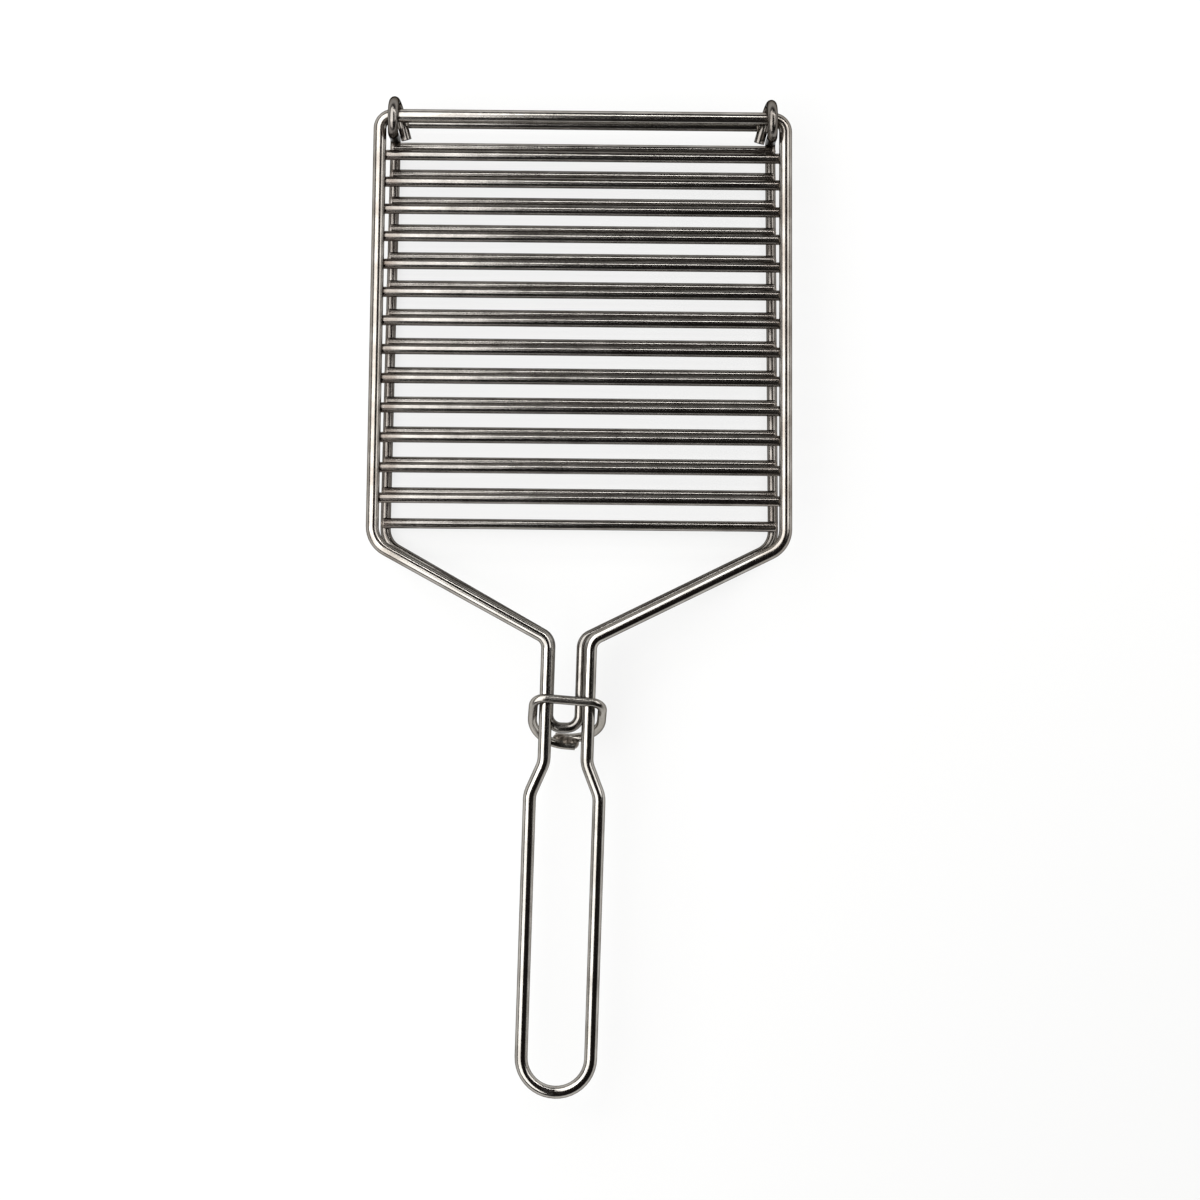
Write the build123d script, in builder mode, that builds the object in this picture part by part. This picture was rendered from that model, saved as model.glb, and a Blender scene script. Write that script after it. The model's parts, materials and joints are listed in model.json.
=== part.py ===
from build123d import *
import os
from math import cos, radians, sin, sqrt, tan

# Campfire grill basket: two hinged wire grids, a long bent handle and a sliding lock ring.
# X runs across the grids, +Y points away from the hand, +Z points up.
# The basket lies on its tray, and the origin is the middle of its footprint at the ground.
# "down" is a distance from the hinge bar towards the hand, "along" one down the handle's own axis.

# Driving dimensions, in millimetres and degrees

# Wires
frame_wire = 5.0
tray_wire = 4.0
rod_wire = 4.0
ring_wire = 3.5

# Long-handled upper half
grill_length = 164.2
upper_width_hinge = 156.0
upper_width_neck = 159.3
hinge_corner_radius = 5.0
basket_corner_radius = 10.0
upper_height = 27.0

# Neck, kink and grip, which lean a little to the left of the basket's axis
arm_drop = 37.0
neck_shift = -3.3
handle_lean = 1.3
neck_length = 47.4
neck_width = 16.5
neck_bend_radius = 5.5
kink_length = 12.5
kink_radius = 10.0
grip_width = 26.8
grip_reach = 174.3

# Short lower half, a tray that hangs under the upper grid
tray_width_hinge = 145.8
tray_width_neck = 151.0
tray_corner_radius = 9.0
tray_neck_width = 12.2
tray_neck_shift = -1.2
tray_neck_length = 34.0
tray_neck_end_radius = 5.0
riser_radius = 3.6

# Hinge eyes at the ends of the tray's wire
eye_radius = 6.2
eye_set_back = 0.9
eye_bend_radius = 6.0
eye_lean = 1.0
eye_pitch = 4.9
eye_tail = 9.0
tie_bite = 0.9

# Cross rods, which stand a little further apart towards the hand
upper_rod_count = 13
lower_rod_count = 14
upper_first_rod = 14.9
upper_rod_pitch = 10.3
lower_rod_pitch = 10.45
rod_pitch_growth = 0.13
rod_overhang = 1.4
rod_end_round = 0.9
weld_depth = 0.3

# Lock ring, bent into a D whose ends lap under the neck, and lying a little askew
ring_tilt = 42.0
ring_yaw = 3.0
ring_corner_radius = 4.5
ring_rest_gap = 0.8
ring_play = 2.2
ring_lap = 4.0
ring_lap_gap = 0.1

# Clearances between wires that move past each other
seat_gap = 0.3
side_gap = 0.4

# A round end is bent to just under half its width, so that a short straight stays between bends
end_roundness = 0.995

# Places that follow from the driving dimensions

lean = radians(handle_lean)
shoulder_down = grill_length + arm_drop
grip_radius = grip_width / 2
grip_centre_along = grip_reach - grip_radius
handle_reach = shoulder_down + grip_centre_along * cos(lean) + grip_radius + frame_wire / 2
eye_reach = eye_radius + tray_wire / 2 - eye_set_back
hinge_y = (handle_reach - eye_reach) / 2

# The hinge bar rests low in the round eyes
eye_slack = eye_radius - tray_wire / 2 - frame_wire / 2 - seat_gap
eye_height = upper_height + sqrt(eye_slack**2 - eye_set_back**2)
floor_height = tray_wire / 2
eye_side_x = tray_width_hinge / 2
riser_down = eye_set_back + eye_radius
eye_far_down = eye_set_back - eye_radius

# The tray's neck nests under the long neck, one seat gap away
neck_contact = (frame_wire + tray_wire) / 2 + seat_gap
neck_side_step = (neck_width - tray_neck_width) / 2 - abs(tray_neck_shift)
neck_drop = sqrt(neck_contact**2 - neck_side_step**2)
tray_neck_height = upper_height - neck_drop
tray_neck_radius = tray_neck_width / 2

# Rods sink into the side wires by the depth of their welds
upper_rod_height = upper_height - (frame_wire + rod_wire) / 2 + weld_depth
lower_rod_height = floor_height + (tray_wire + rod_wire) / 2 - weld_depth
lower_first_rod = riser_down + riser_radius


def place(x, down, z):
    """A point given by its distance from the hinge bar."""
    return (x, hinge_y - down, z)


def on_handle(side, along, z):
    """A point on the leaning handle, to one side of its axis."""
    x = neck_shift + side * cos(lean) - along * sin(lean)
    y = hinge_y - shoulder_down - side * sin(lean) - along * cos(lean)
    return (x, y, z)


def half_width(width_at_hinge, width_at_neck, down):
    """Half the width between side wires that spread towards the neck."""
    return (width_at_hinge + (width_at_neck - width_at_hinge) * down / grill_length) / 2


def rod_stations(first, pitch, count):
    """Distances of the rods from the hinge bar, with a slowly growing pitch."""
    return [first + i * pitch + i * (i - 1) / 2 * rod_pitch_growth for i in range(count)]


# Long-handled frame, one closed loop of wire


def frame_side(side):
    """Corners of one half of the loop, from the hinge to the end of the grip."""
    return [
        place(side * upper_width_hinge / 2, 0, upper_height),
        place(side * upper_width_neck / 2, grill_length, upper_height),
        on_handle(side * neck_width / 2, 0, upper_height),
        on_handle(side * neck_width / 2, neck_length, upper_height),
        on_handle(side * grip_radius, neck_length + kink_length, upper_height),
        on_handle(side * grip_radius, grip_reach, upper_height),
    ]


frame_radii = [
    hinge_corner_radius,
    basket_corner_radius,
    neck_bend_radius,
    kink_radius,
    kink_radius,
    grip_radius * end_roundness,
]
frame_corners = frame_side(1) + frame_side(-1)[::-1]

with BuildPart() as handle_frame:
    with BuildLine() as frame_path:
        FilletPolyline(*frame_corners, radius=frame_radii + frame_radii[::-1], close=True)
    with BuildSketch(Plane(origin=frame_path.line @ 0, z_dir=frame_path.line % 0)):
        Circle(frame_wire / 2)
    sweep(path=frame_path.wires()[0])

handle_frame.part.label = "handle_frame"


# Tray frame, one wire bent from eye to eye


def tray_side(side):
    """Corners of one half of the tray's wire, from the tail of the eye to the short neck's end."""
    top = eye_height + eye_radius
    bottom = eye_height - eye_radius
    neck_x = half_width(tray_width_hinge, tray_width_neck, grill_length)
    return [
        place(side * (eye_side_x - eye_pitch), eye_tail, bottom),
        place(side * (eye_side_x - eye_lean), eye_far_down, bottom),
        place(side * eye_side_x, eye_far_down, top),
        place(side * eye_side_x, riser_down, top),
        place(side * eye_side_x, riser_down, floor_height),
        place(side * neck_x, grill_length, floor_height),
        on_handle(tray_neck_shift + side * tray_neck_radius, -side_gap, tray_neck_height),
        on_handle(tray_neck_shift + side * tray_neck_radius, tray_neck_length, tray_neck_height),
    ]


tray_radii = [
    eye_bend_radius,
    eye_bend_radius,
    eye_bend_radius,
    riser_radius,
    tray_corner_radius,
    neck_bend_radius,
    tray_neck_end_radius,
]
tray_corners = tray_side(1) + tray_side(-1)[::-1]

with BuildPart() as tray_frame:
    with BuildLine() as tray_path:
        FilletPolyline(*tray_corners, radius=tray_radii + tray_radii[::-1])
    with BuildSketch(Plane(origin=tray_path.line @ 0, z_dir=tray_path.line % 0)):
        Circle(tray_wire / 2)
    sweep(path=tray_path.wires()[0])

tray_frame.part.label = "tray_frame"


# Cross rods, each saddled on the wires that carry it


def cross_rod(half_length, down, z, carrier):
    """A straight rod with rounded ends, cut to the wire that it is welded to."""
    with BuildPart() as rod:
        with BuildSketch(Plane(origin=place(-half_length, down, z), z_dir=(1, 0, 0))):
            Circle(rod_wire / 2)
        extrude(amount=2 * half_length)
        fillet(rod.edges().filter_by(GeomType.CIRCLE), radius=rod_end_round)
        add(carrier.part, mode=Mode.SUBTRACT)
    return rod.part.solids().sort_by(SortBy.VOLUME)[-1]


rods = {}
for number, down in enumerate(rod_stations(upper_first_rod, upper_rod_pitch, upper_rod_count), start=1):
    reach = half_width(upper_width_hinge, upper_width_neck, down) + rod_overhang
    rods[f"upper_rod_{number:02d}"] = cross_rod(reach, down, upper_rod_height, handle_frame)

for number, down in enumerate(rod_stations(lower_first_rod, lower_rod_pitch, lower_rod_count), start=1):
    reach = half_width(tray_width_hinge, tray_width_neck, down) + rod_overhang
    rods[f"lower_rod_{number:02d}"] = cross_rod(reach, down, lower_rod_height, tray_frame)

# Between the eyes, a shorter rod butts against the tails
tie_down = frame_wire / 2
tail_share = (tie_down - eye_far_down) / (eye_tail - eye_far_down)
tail_x = eye_side_x - eye_lean - tail_share * (eye_pitch - eye_lean)
tie_reach = tail_x - tray_wire / 2 + tie_bite
rods["eye_tie_rod"] = cross_rod(tie_reach, tie_down, eye_height - eye_radius, tray_frame)


# Lock ring, a tilted D of wire round both necks

ring_turn = lean + radians(ring_yaw)
ring_lean_back = radians(ring_tilt)
ring_width = neck_width + frame_wire + ring_wire + 2 * ring_rest_gap
ring_round = ring_width / 2 * end_roundness
lap_offset = (ring_wire + ring_lap_gap) / 2

# The round lower end hangs low enough to pass under both legs of the tray's neck
leg_reach = tray_neck_radius + abs(tray_neck_shift)
round_rise = ring_round - sqrt(ring_round**2 - leg_reach**2)
ring_hang = round_rise * cos(ring_lean_back) + lap_offset * sin(ring_lean_back)
ring_top_height = upper_height + (frame_wire + ring_wire) / 2 + seat_gap
ring_bottom_height = tray_neck_height - (tray_wire + ring_wire) / 2 - ring_play - ring_hang
ring_rise = ring_top_height - ring_bottom_height
ring_run = ring_rise * tan(ring_lean_back)
ring_length = sqrt(ring_rise**2 + ring_run**2)

# It rests just beyond the end of the tray's neck
ring_lap_run = lap_offset * cos(ring_lean_back)
ring_bottom_along = tray_neck_length + (tray_wire + ring_wire) / 2 + side_gap + ring_lap_run
ring_centre_along = ring_bottom_along - ring_run / 2
ring_centre = on_handle(0, ring_centre_along, (ring_top_height + ring_bottom_height) / 2)
ring_plane = Plane(
    origin=ring_centre,
    x_dir=(cos(ring_turn), -sin(ring_turn), 0),
    z_dir=(
        -sin(ring_turn) * cos(ring_lean_back),
        -cos(ring_turn) * cos(ring_lean_back),
        sin(ring_lean_back),
    ),
)

ring_corners = [
    (-ring_lap, -ring_length / 2, -lap_offset),
    (ring_width / 2, -ring_length / 2, -lap_offset),
    (ring_width / 2, ring_length / 2, 0),
    (-ring_width / 2, ring_length / 2, 0),
    (-ring_width / 2, -ring_length / 2, lap_offset),
    (ring_lap, -ring_length / 2, lap_offset),
]
ring_radii = [ring_round, ring_corner_radius, ring_corner_radius, ring_round]

with BuildPart() as lock_ring:
    with BuildLine(ring_plane) as ring_path:
        FilletPolyline(*ring_corners, radius=ring_radii)
    with BuildSketch(Plane(origin=ring_path.line @ 0, z_dir=ring_path.line % 0)):
        Circle(ring_wire / 2)
    sweep(path=ring_path.wires()[0])

lock_ring.part.label = "lock_ring"

# One STEP file for each piece

os.makedirs("parts", exist_ok=True)
export_step(handle_frame.part, "parts/handle_frame.step")
export_step(tray_frame.part, "parts/tray_frame.step")
export_step(lock_ring.part, "parts/lock_ring.step")
for name, rod in rods.items():
    rod.label = name
    export_step(rod, f"parts/{name}.step")

print("hinge at y", round(hinge_y, 3), "z", upper_height)
print("handle reaches", round(handle_reach, 2), "from the hinge")
print("ring centre", [round(value, 2) for value in ring_centre])
print("tray neck height", round(tray_neck_height, 2), "eye height", round(eye_height, 2))
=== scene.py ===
# %% [markdown]
# # A campfire grill basket in stainless steel wire
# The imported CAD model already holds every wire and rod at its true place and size.
# This script dresses it: drawn and polished wire, brown heat tint near the welds, the small
# weld beads that hold the rods, the lumpy weld that closes the ring, a pale floor, soft studio
# light and a camera straight above.

# %% Load the frame
import json
import math
import bpy
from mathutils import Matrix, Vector


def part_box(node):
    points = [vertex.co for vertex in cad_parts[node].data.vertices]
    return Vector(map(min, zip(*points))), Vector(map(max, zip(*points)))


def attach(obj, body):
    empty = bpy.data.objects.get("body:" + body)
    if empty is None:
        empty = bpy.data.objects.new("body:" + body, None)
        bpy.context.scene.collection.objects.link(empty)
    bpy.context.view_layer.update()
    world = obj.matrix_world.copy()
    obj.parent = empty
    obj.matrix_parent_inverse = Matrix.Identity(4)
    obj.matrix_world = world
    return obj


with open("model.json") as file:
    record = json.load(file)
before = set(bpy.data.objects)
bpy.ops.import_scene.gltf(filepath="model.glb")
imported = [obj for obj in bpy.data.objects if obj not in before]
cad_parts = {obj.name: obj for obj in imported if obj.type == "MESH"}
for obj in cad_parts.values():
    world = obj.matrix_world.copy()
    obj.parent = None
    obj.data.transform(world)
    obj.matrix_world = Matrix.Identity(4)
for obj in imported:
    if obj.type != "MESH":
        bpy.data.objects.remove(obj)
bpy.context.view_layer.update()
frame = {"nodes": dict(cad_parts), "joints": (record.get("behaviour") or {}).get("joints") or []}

MM = 0.001

# %% [markdown]
# ## Colours and nodes
# Colours are picked as sRGB hex values, as a colour picker shows them, but shaders count in
# linear light, so one function turns them over. A second function adds a node, sets it and
# links it, so that each material below reads as a short recipe.

# %% Two helpers for every material
def linear(hex_colour):
    """An sRGB hex colour as the linear RGBA that shaders use."""
    channels = [int(hex_colour[i:i + 2], 16) / 255 for i in (1, 3, 5)]
    return [c / 12.92 if c <= 0.04045 else ((c + 0.055) / 1.055) ** 2.4 for c in channels] + [1.0]


def add_node(tree, kind, settings=None, inputs=None):
    """Add a node; each input is a plain value, or another node's output to link from."""
    node = tree.nodes.new(kind)
    for key, value in (settings or {}).items():
        setattr(node, key, value)
    for key, value in (inputs or {}).items():
        if isinstance(value, bpy.types.NodeSocket):
            tree.links.new(value, node.inputs[key])
        else:
            node.inputs[key].default_value = value
    return node


print("mid grey in linear light:", [round(c, 3) for c in linear("#808080")[:3]])

# %% [markdown]
# ## The wire's finish
# The wire is AISI 304 stainless steel, drawn through a die and then tumbled bright. Drawing
# leaves fine lines along the wire, tumbling leaves soft patches, and welding leaves a straw to
# brown heat tint round each joint. The lines are really a few hundredths of a millimetre
# apart; here they are 0.3 mm apart, or the render could not show them.
#
# Seen at a grazing angle any metal turns into a mirror, so the round edges of each wire would
# show only the white floor. EDGE_TINT holds that back, and the edges stay darker.

# %% A drawn wire material
ALONG_X, ALONG_Y = 0, 1
LINE_SPACING = 0.3 * MM
LINE_LENGTH = 30 * MM
LINE_DEPTH = 0.01 * MM
LINE_STRENGTH = 0.02
LINE_SHINE = 0.02
LINE_DULLNESS = 0.03
PATCH_SIZE = 9 * MM
HEAT_ROUGHNESS = 0.18
EDGE_TINT = "#404040"


def line_noise(tree, place, along):
    """Noise stretched along one axis: the die's lines on a wire that runs that way."""
    scale = [1 / LINE_SPACING] * 3
    scale[along] = 1 / LINE_LENGTH
    stretched = add_node(tree, "ShaderNodeMapping", inputs={"Vector": place, "Scale": scale})
    noise = add_node(tree, "ShaderNodeTexNoise",
                     inputs={"Vector": stretched.outputs["Vector"], "Scale": 1.0, "Detail": 0.0})
    return noise.outputs["Fac"]


def drawn_wire(name, bright, dull, tint, roughness, lines, tint_mask):
    """Bright drawn stainless wire; lines and tint_mask build their own part of the tree."""
    material = bpy.data.materials.new(name)
    material.use_nodes = True
    tree = material.node_tree
    tree.nodes.clear()
    place = add_node(tree, "ShaderNodeTexCoord").outputs["Object"]
    streaks = lines(tree, place)
    patches = add_node(tree, "ShaderNodeTexNoise",
                       inputs={"Vector": place, "Scale": 1 / PATCH_SIZE, "Detail": 4.0,
                               "Roughness": 0.55}).outputs["Fac"]
    soft = add_node(tree, "ShaderNodeMapRange",
                    inputs={"Value": patches, "From Min": 0.35, "From Max": 0.7}).outputs["Result"]
    metal = add_node(tree, "ShaderNodeMix", {"data_type": "RGBA"},
                     {"Factor": soft, "A": linear(bright), "B": linear(dull)})
    heat = tint_mask(tree, place, patches)
    coloured = add_node(tree, "ShaderNodeMix", {"data_type": "RGBA"},
                        {"Factor": heat, "A": metal.outputs["Result"], "B": linear(tint)})
    lined = add_node(tree, "ShaderNodeMapRange",
                     inputs={"Value": streaks, "From Min": 0.3, "From Max": 0.7,
                             "To Min": roughness - LINE_SHINE,
                             "To Max": roughness + LINE_DULLNESS})
    rough = add_node(tree, "ShaderNodeMath", {"operation": "MULTIPLY_ADD"},
                     {0: heat, 1: HEAT_ROUGHNESS, 2: lined.outputs["Result"]})
    bump = add_node(tree, "ShaderNodeBump",
                    inputs={"Height": streaks, "Strength": LINE_STRENGTH,
                            "Distance": LINE_DEPTH})
    shader = add_node(tree, "ShaderNodeBsdfPrincipled",
                      inputs={"Metallic": 1.0, "Base Color": coloured.outputs["Result"],
                              "Roughness": rough.outputs["Value"],
                              "Specular Tint": linear(EDGE_TINT),
                              "Normal": bump.outputs["Normal"]})
    add_node(tree, "ShaderNodeOutputMaterial", inputs={"Surface": shader.outputs["BSDF"]})
    print("material", name, "with", len(tree.nodes), "nodes")
    return material


# %% [markdown]
# ## Where the lines run and where the heat went
# The cross rods run along X, so their lines do too. The two bent frames run mostly along Y,
# apart from the hinge bar, where the lines turn to X. Heat tint lies where rods were welded:
# at the last millimetres of each rod, and along the side wires of the frames. The ring has a
# single weld, so only a trace of tint shows in its patches.

# %% Masks in real places
BAR_LINES_BEGIN = 4 * MM
BAR_LINES_FULL = 2 * MM
RING_TINT = 0.1
hinge = Vector(next(j for j in frame["joints"] if j["type"] == "hinge")["pos_m"])
low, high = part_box("upper_rod_01")
rod_reach = high.x


def lines_along_rod(tree, place):
    """Lines along X, for the rods and for the ring, whose long bars cross the neck."""
    return line_noise(tree, place, ALONG_X)


def lines_along_frame(tree, place):
    """Lines along Y that turn to X on the hinge bar."""
    y = add_node(tree, "ShaderNodeSeparateXYZ", inputs={"Vector": place}).outputs["Y"]
    on_bar = add_node(tree, "ShaderNodeMapRange",
                      inputs={"Value": y, "From Min": hinge.y - BAR_LINES_BEGIN,
                              "From Max": hinge.y - BAR_LINES_FULL})
    both = add_node(tree, "ShaderNodeMix", {"data_type": "FLOAT"},
                    {"Factor": on_bar.outputs["Result"], "A": line_noise(tree, place, ALONG_Y),
                     "B": line_noise(tree, place, ALONG_X)})
    return both.outputs["Result"]


def side_tint(begins, full, strength):
    """A mask of heat tint near both sides; begins and full are measured in from the rods' ends."""
    def mask(tree, place, patches):
        x = add_node(tree, "ShaderNodeSeparateXYZ", inputs={"Vector": place}).outputs["X"]
        away = add_node(tree, "ShaderNodeMath", {"operation": "ABSOLUTE"}, {0: x})
        band = add_node(tree, "ShaderNodeMapRange", {"interpolation_type": "SMOOTHSTEP"},
                        {"Value": away.outputs["Value"], "From Min": rod_reach - begins,
                         "From Max": rod_reach - full, "To Max": strength})
        broken = add_node(tree, "ShaderNodeMapRange",
                          inputs={"Value": patches, "From Min": 0.3, "From Max": 0.65,
                                  "To Min": 0.45, "To Max": 1.0})
        tinted = add_node(tree, "ShaderNodeMath", {"operation": "MULTIPLY"},
                          {0: band.outputs["Result"], 1: broken.outputs["Result"]})
        return tinted.outputs["Value"]
    return mask


def faint_tint(tree, place, patches):
    """A trace of tint in the patches; it needs no place, but every mask is called alike."""
    return add_node(tree, "ShaderNodeMath", {"operation": "MULTIPLY"},
                    {0: patches, 1: RING_TINT}).outputs["Value"]


tint_at_rod_ends = side_tint(begins=14 * MM, full=4 * MM, strength=0.55)
tint_on_sides = side_tint(begins=16 * MM, full=8 * MM, strength=0.3)
print("hinge bar at", [round(v, 4) for v in hinge], "rod ends at x", round(rod_reach, 4))

# %% The four finishes
rod_steel = drawn_wire(
    "drawn_stainless_rod", bright="#A5A19C", dull="#87837E", tint="#5C4A3C",
    roughness=0.14, lines=lines_along_rod, tint_mask=tint_at_rod_ends)
frame_steel = drawn_wire(
    "polished_stainless_frame_wire", bright="#B6B2AC", dull="#97938D", tint="#6A5746",
    roughness=0.14, lines=lines_along_frame, tint_mask=tint_on_sides)
# The tray frame is the same stainless wire as the handle frame. Its darker base colours are
# painted shade, for the tray lying below the handle frame.
tray_steel_painted_shade = drawn_wire(
    "stainless_tray_wire_painted_shade", bright="#8E8A85", dull="#6E6A66", tint="#4E4034",
    roughness=0.18, lines=lines_along_frame, tint_mask=tint_on_sides)
ring_steel = drawn_wire(
    "tumbled_stainless_ring_wire", bright="#B6B2AB", dull="#908C86", tint="#6A5746",
    roughness=0.18, lines=lines_along_rod, tint_mask=faint_tint)

# %% [markdown]
# ## Dress the CAD nodes
# A CAD node keeps its mesh and its place, and only its material slots change.

# %% Materials on the wires
finishes = {"handle_frame": frame_steel, "tray_frame": tray_steel_painted_shade, "lock_ring": ring_steel}
for name, node in frame["nodes"].items():
    finish = finishes.get(name, rod_steel)
    if not node.material_slots:
        node.data.materials.append(finish)
    for material_slot in node.material_slots:
        material_slot.material = finish
print("dressed", len(frame["nodes"]), "nodes")

# %% [markdown]
# ## Weld beads
# Each rod is resistance welded: the two wires are squeezed together while a current melts
# the spot, and a little metal is pressed out all round it. That gives a small uneven collar
# in the wedge between the wires. A torus is a good start: it is flattened, and its points
# are pushed in and out so that no collar looks turned on a lathe.

# %% Model one weld collar
COLLAR_RADIUS = 1.75 * MM
COLLAR_THICKNESS = 0.5 * MM
COLLAR_FLATNESS = 0.8


def start_clean():
    """Leave edit mode and deselect everything before a new piece is added."""
    if bpy.context.object and bpy.context.object.mode != "OBJECT":
        bpy.ops.object.mode_set(mode="OBJECT")
    bpy.ops.object.select_all(action="DESELECT")


def settle(piece, name):
    """Put a piece's place into its mesh and name it."""
    start_clean()
    piece.select_set(True)
    bpy.context.view_layer.objects.active = piece
    bpy.ops.object.transform_apply(location=True, rotation=True, scale=True)
    piece.name = name
    piece.data.name = name
    return piece


start_clean()
bpy.ops.mesh.primitive_torus_add(major_segments=20, minor_segments=8,
                                 major_radius=COLLAR_RADIUS, minor_radius=COLLAR_THICKNESS)
collar = bpy.context.object
bpy.ops.object.mode_set(mode="EDIT")
bpy.ops.mesh.select_all(action="SELECT")
bpy.ops.transform.resize(value=(1.0, 1.0, COLLAR_FLATNESS))
bpy.ops.transform.vertex_random(offset=0.12 * MM, uniform=1.0, seed=3)
bpy.ops.object.mode_set(mode="OBJECT")
bpy.ops.object.shade_smooth()
print("one collar has", len(collar.data.polygons), "faces")

# %% Put a collar at both ends of every rod
ROD_OVERHANG = 1.4 * MM
COLLAR_INSET = 0.3 * MM
WELD_DEPTH = 0.3 * MM
TURN_STEP = 2.4
TIE_OVERHANG = 1.1 * MM
TIE_STRETCH = (1.15, 1.15, 0.9)


def collar_copy(place, turn):
    """A copy of the collar; each is turned another way, so that no two look the same."""
    start_clean()
    collar.select_set(True)
    bpy.context.view_layer.objects.active = collar
    bpy.ops.object.duplicate()
    copy = bpy.context.object
    copy.location = place
    copy.rotation_euler = turn
    return copy


def weld_row(prefix, above):
    """Collars of one grid; above says whether the rods lie above the wires they sit on."""
    made = []
    rods = sorted(n for n in frame["nodes"] if n.startswith(prefix))
    for number, rod in enumerate(rods):
        low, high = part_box(rod)
        y = (low.y + high.y) / 2
        z = low.z + WELD_DEPTH / 2 if above else high.z - WELD_DEPTH / 2
        for side in (-1, 1):
            place = (side * (high.x - ROD_OVERHANG - COLLAR_INSET), y, z)
            made.append(collar_copy(place, (0, 0, TURN_STEP * number + side)))
    return made


def join(pieces, name):
    """Join the pieces into one with this name."""
    start_clean()
    for piece in pieces:
        piece.select_set(True)
    bpy.context.view_layer.objects.active = pieces[0]
    bpy.ops.object.join()
    return settle(bpy.context.object, name)


upper_welds = join(weld_row("upper_rod_", False), "upper_welds")
lower = weld_row("lower_rod_", True)
low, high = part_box("eye_tie_rod")
for side in (-1, 1):
    place = (side * (high.x - TIE_OVERHANG), (low.y + high.y) / 2, (low.z + high.z) / 2)
    tie_weld = collar_copy(place, (0, math.pi / 2, 0))
    tie_weld.scale = TIE_STRETCH
    lower.append(tie_weld)
lower_welds = join(lower, "lower_welds")
for welds in (upper_welds, lower_welds):
    print(welds.name, "has", len(welds.data.polygons), "faces")

# %% [markdown]
# ## The lap weld of the ring
# The two ends of the ring's wire lap under the neck and are melted together there. The weld is
# a lumpy bead: three balls of different sizes are drawn out along the lap, roughened, and
# joined into one piece that rides on the ring.

# %% One lumpy bead
LAP_CENTRE = Vector((-4.6, -55.3, 13.6)) * MM
RING_TILT = math.radians(42)
RING_TURN = math.radians(-4.3)
LUMP_FLATNESS = 0.85
LUMPS = (((-2.0, 0.7, -0.2), 2.6 * MM, 6.2 * MM, 5),
         ((0.6, -0.5, 0.2), 3.0 * MM, 5.2 * MM, 8),
         ((2.9, -0.8, 0.3), 2.5 * MM, 5.0 * MM, 11))


def lump(offset, radius, length, seed):
    """A ball drawn out along the lap and laid in the ring's own tilted plane."""
    start_clean()
    bpy.ops.mesh.primitive_uv_sphere_add(segments=28, ring_count=14, radius=radius,
                                         location=LAP_CENTRE + Vector(offset) * MM)
    ball = bpy.context.object
    bpy.ops.object.mode_set(mode="EDIT")
    bpy.ops.mesh.select_all(action="SELECT")
    bpy.ops.transform.resize(value=(length / (2 * radius), 1.0, LUMP_FLATNESS))
    bpy.ops.transform.vertex_random(offset=0.1 * MM, uniform=1.0, seed=seed)
    bpy.ops.mesh.vertices_smooth(factor=0.5, repeat=1)
    bpy.ops.object.mode_set(mode="OBJECT")
    bpy.ops.object.shade_smooth()
    ball.rotation_euler = (math.pi / 2 - RING_TILT, 0, RING_TURN)
    return ball


lap_weld = join([lump(*values) for values in LUMPS], "ring_lap_weld")
print("ring weld spans", [round(v / MM, 2) for v in lap_weld.dimensions], "mm")

# %% The pattern collar has done its work
start_clean()
bpy.data.objects.remove(collar)

# %% [markdown]
# ## Weld finish
# A weld isn't polished: it stays grey-brown, rough and slightly pitted. The pits lie about a
# quarter of a millimetre apart, and one grain of noise sets their tone, dullness and depth.

# %% Weld steel
PIT = 0.25 * MM
PIT_DEPTH = 0.1 * MM
weld_steel = bpy.data.materials.new("heat_tinted_weld_steel")
weld_steel.use_nodes = True
tree = weld_steel.node_tree
tree.nodes.clear()
place = add_node(tree, "ShaderNodeTexCoord").outputs["Object"]
grain = add_node(tree, "ShaderNodeTexNoise",
                 inputs={"Vector": place, "Scale": 1 / PIT, "Detail": 3.0}).outputs["Fac"]
tones = add_node(tree, "ShaderNodeMix", {"data_type": "RGBA"},
                 {"Factor": grain, "A": linear("#4A423A"), "B": linear("#8C847B")})
dull = add_node(tree, "ShaderNodeMapRange",
                inputs={"Value": grain, "To Min": 0.2, "To Max": 0.42})
pits = add_node(tree, "ShaderNodeBump",
                inputs={"Height": grain, "Strength": 0.5, "Distance": PIT_DEPTH})
shader = add_node(tree, "ShaderNodeBsdfPrincipled",
                  inputs={"Metallic": 1.0, "Base Color": tones.outputs["Result"],
                          "Roughness": dull.outputs["Result"], "Normal": pits.outputs["Normal"]})
add_node(tree, "ShaderNodeOutputMaterial", inputs={"Surface": shader.outputs["BSDF"]})
print("weld finish has", len(tree.nodes), "nodes")

# %% Each piece rides on its body
for piece, body, slot_name in (
        (upper_welds, "handle", "rod_wire"),
        (lower_welds, "tray", "rod_wire"),
        (lap_weld, "ring", "ring_wire")):
    piece.data.materials.clear()
    piece.data.materials.append(weld_steel)
    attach(piece, body)
    print(piece.name, "rides on", body)

# %% [markdown]
# ## Floor
# The floor is a plain pale sheet. To the camera and in reflections it is mostly its own
# white, so that it looks clean, and the rest of it takes light and keeps a soft shadow.

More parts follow.
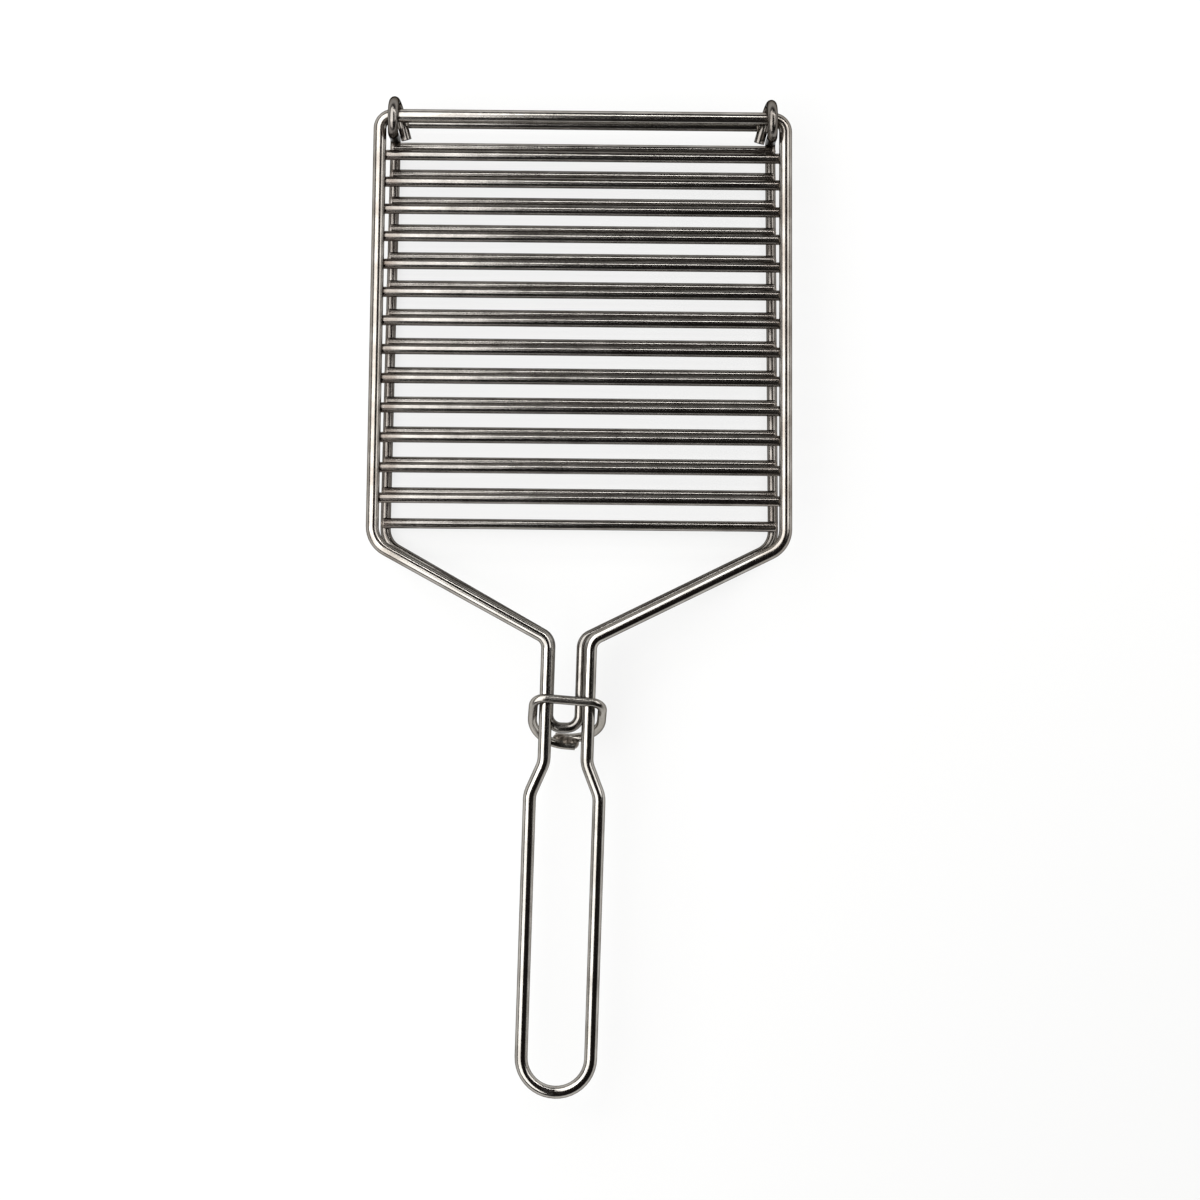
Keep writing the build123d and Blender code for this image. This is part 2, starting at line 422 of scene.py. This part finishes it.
# %% A white floor that keeps a shadow
FLOOR_SIZE = 6.0
OWN_WHITE = 0.76
start_clean()
bpy.ops.mesh.primitive_plane_add(size=FLOOR_SIZE, location=(0, 0, 0))
floor = bpy.context.object
floor.name = "floor"
paper = bpy.data.materials.new("white_studio_paper")
paper.use_nodes = True
tree = paper.node_tree
tree.nodes.clear()
rays = add_node(tree, "ShaderNodeLightPath")
seen = add_node(tree, "ShaderNodeMath", {"operation": "MAXIMUM"},
                {0: rays.outputs["Is Camera Ray"], 1: rays.outputs["Is Glossy Ray"]})
seen = add_node(tree, "ShaderNodeMath", {"operation": "MAXIMUM"},
                {0: seen.outputs["Value"], 1: rays.outputs["Is Transmission Ray"]})
share = add_node(tree, "ShaderNodeMath", {"operation": "MULTIPLY"},
                 {0: seen.outputs["Value"], 1: OWN_WHITE})
matt = add_node(tree, "ShaderNodeBsdfDiffuse", inputs={"Color": linear("#D0D0CE")})
glow = add_node(tree, "ShaderNodeEmission", inputs={"Color": linear("#FFFFFF"), "Strength": 1.0})
both = add_node(tree, "ShaderNodeMixShader",
                inputs={0: share.outputs["Value"], 1: matt.outputs["BSDF"],
                        2: glow.outputs["Emission"]})
add_node(tree, "ShaderNodeOutputMaterial", inputs={"Surface": both.outputs["Shader"]})
floor.data.materials.append(paper)
print("floor is", FLOOR_SIZE, "m square")

# %% [markdown]
# ## Studio
# The room is pale round the horizon and dark overhead, as a studio with white walls and an
# unlit ceiling is. Polished wire shows its surroundings: the dark ceiling gives the rods
# their dark tops, and the lamps draw the bright lines along them. Three broad panels give the
# wide bands, and a narrow strip at the back gives a thin sharp line. A flat lamp shines along
# its own -Z, so all four face straight down as they are, and none is seen by the camera.
#
# The room's tone follows the height of the direction looked in, 0 at the horizon and 1 overhead.

# %% The room
PALE_UP_TO = 0.06
DARK_FROM = 0.35
world = bpy.data.worlds.new("pale_room_dark_ceiling")
bpy.context.scene.world = world
world.use_nodes = True
tree = world.node_tree
tree.nodes.clear()
direction = add_node(tree, "ShaderNodeTexCoord").outputs["Generated"]
rise = add_node(tree, "ShaderNodeSeparateXYZ", inputs={"Vector": direction}).outputs["Z"]
dark = add_node(tree, "ShaderNodeMapRange", {"interpolation_type": "SMOOTHSTEP"},
                {"Value": rise, "From Min": PALE_UP_TO, "From Max": DARK_FROM})
seen_room = add_node(tree, "ShaderNodeMix", {"data_type": "RGBA"},
                     {"Factor": dark.outputs["Result"], "A": linear("#FFFFFF"),
                      "B": linear("#1E1B19")})
rays = add_node(tree, "ShaderNodeLightPath")
fill = add_node(tree, "ShaderNodeMix", {"data_type": "RGBA"},
                {"Factor": rays.outputs["Is Diffuse Ray"], "A": seen_room.outputs["Result"],
                 "B": linear("#D0D0D0")})
room = add_node(tree, "ShaderNodeBackground",
                inputs={"Color": fill.outputs["Result"], "Strength": 1.0})
add_node(tree, "ShaderNodeOutputWorld", inputs={"Surface": room.outputs["Background"]})
print("room has", len(tree.nodes), "nodes")

# %% The lamps
def softbox(name, place, width, depth, brightness):
    """A flat lamp that shows in polished metal as a panel of that brightness."""
    lamp = bpy.data.lights.new(name, "AREA")
    lamp.shape = "RECTANGLE"
    lamp.size = width
    lamp.size_y = depth
    lamp.energy = brightness * math.pi * width * depth
    holder = bpy.data.objects.new(name, lamp)
    bpy.context.collection.objects.link(holder)
    holder.location = place
    holder.visible_camera = False
    print(name, "gives", round(lamp.energy, 2), "W")


softbox("panel_back_left", (-0.45, 0.475, 0.6), width=0.8, depth=1.05, brightness=3.2)
softbox("panel_left", (-0.54, -0.35, 0.55), width=0.8, depth=0.75, brightness=2.8)
softbox("panel_right", (0.65, 0.3, 0.5), width=0.6, depth=0.6, brightness=2.3)
softbox("strip_back", (0.4, 0.58, 0.6), width=0.9, depth=0.1, brightness=7.0)

# %% [markdown]
# ## Camera
# The photograph is taken from straight above with a long lens, and the basket lies turned
# half a degree. One pixel of the 1200 pixel frame is 0.385 mm at the upper grid.

# %% The camera above
PIXEL = 0.385 * MM
FRAME_PIXELS = 1200
CAMERA_HEIGHT = 2.2
CAMERA_PLACE = (8.35 * MM, -0.45 * MM, CAMERA_HEIGHT)
CAMERA_TURN = math.radians(0.55)
SENSOR = 36.0
lens = bpy.data.cameras.new("camera")
lens.sensor_width = SENSOR
lens.lens = SENSOR * (CAMERA_HEIGHT - hinge.z) / (PIXEL * FRAME_PIXELS)
camera = bpy.data.objects.new("camera", lens)
bpy.context.collection.objects.link(camera)
camera.location = CAMERA_PLACE
camera.rotation_euler = (0, 0, CAMERA_TURN)
bpy.context.scene.camera = camera
bpy.context.scene.view_settings.view_transform = "Standard"
print("lens of", round(lens.lens, 1), "mm")
